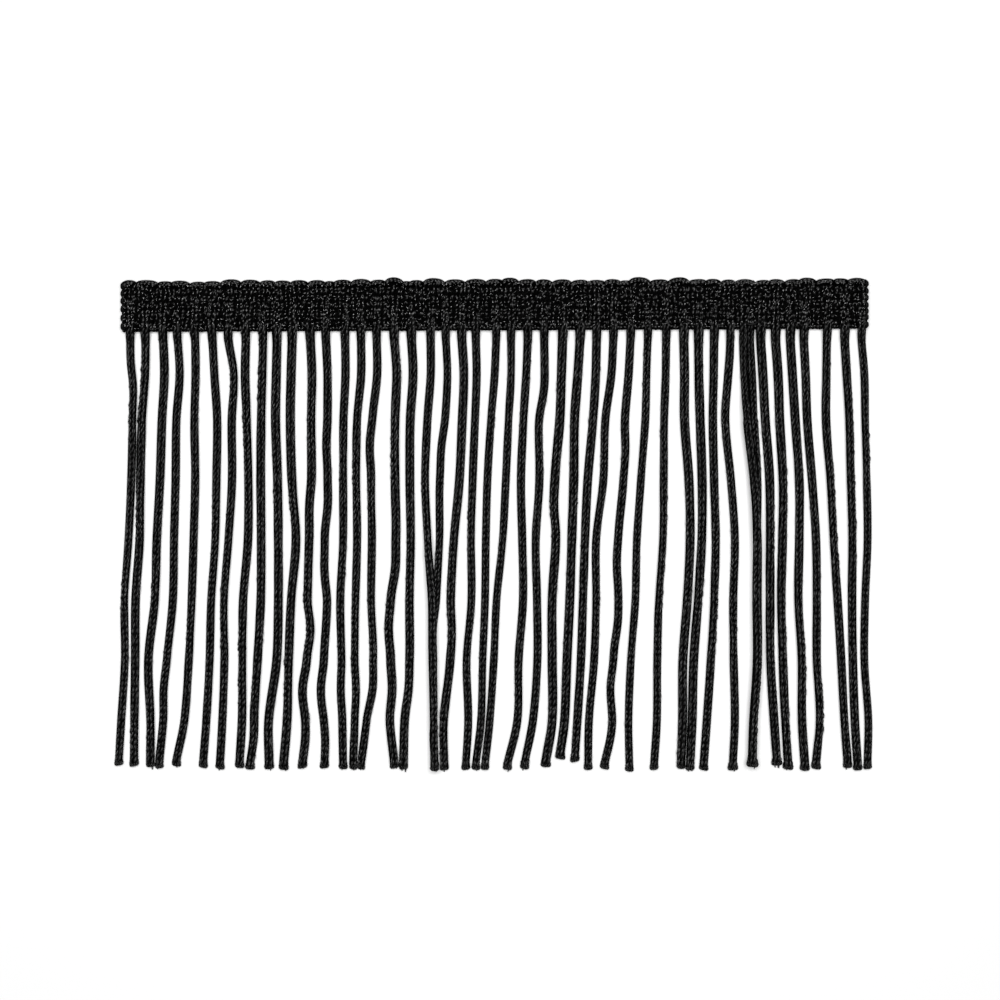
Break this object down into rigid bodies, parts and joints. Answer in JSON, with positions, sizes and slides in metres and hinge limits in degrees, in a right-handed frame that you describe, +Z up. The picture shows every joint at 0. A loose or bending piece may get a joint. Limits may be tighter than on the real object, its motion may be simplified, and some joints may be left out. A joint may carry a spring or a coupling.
{
  "type": "knitted cord fringe trim",
  "caption": "Cut length of black corded fringe trim, lying flat: a knitted scalloped heading with a row of loosely straight knitted cords below it, each ending in a small knot.",
  "frame": {"origin": "centre of the bottom of the trim's bounding box, on the surface that it lies on", "axes": "+X along the heading from its left end to its right end, +Y from the cord tips to the scalloped edge, +Z up out of the trim's face"},
  "size_m": [0.1896, 0.1236, 0.0048],
  "materials": {
    "heading_yarn": "glossy black viscose yarn in rows of small chain stitches",
    "cord_yarn": "glossy black viscose yarn knitted into narrow cords of two stitch columns"
  },
  "bodies": {
    "root": {"heading": "heading_yarn", "fringe": "cord_yarn"}
  },
  "joints": []
}
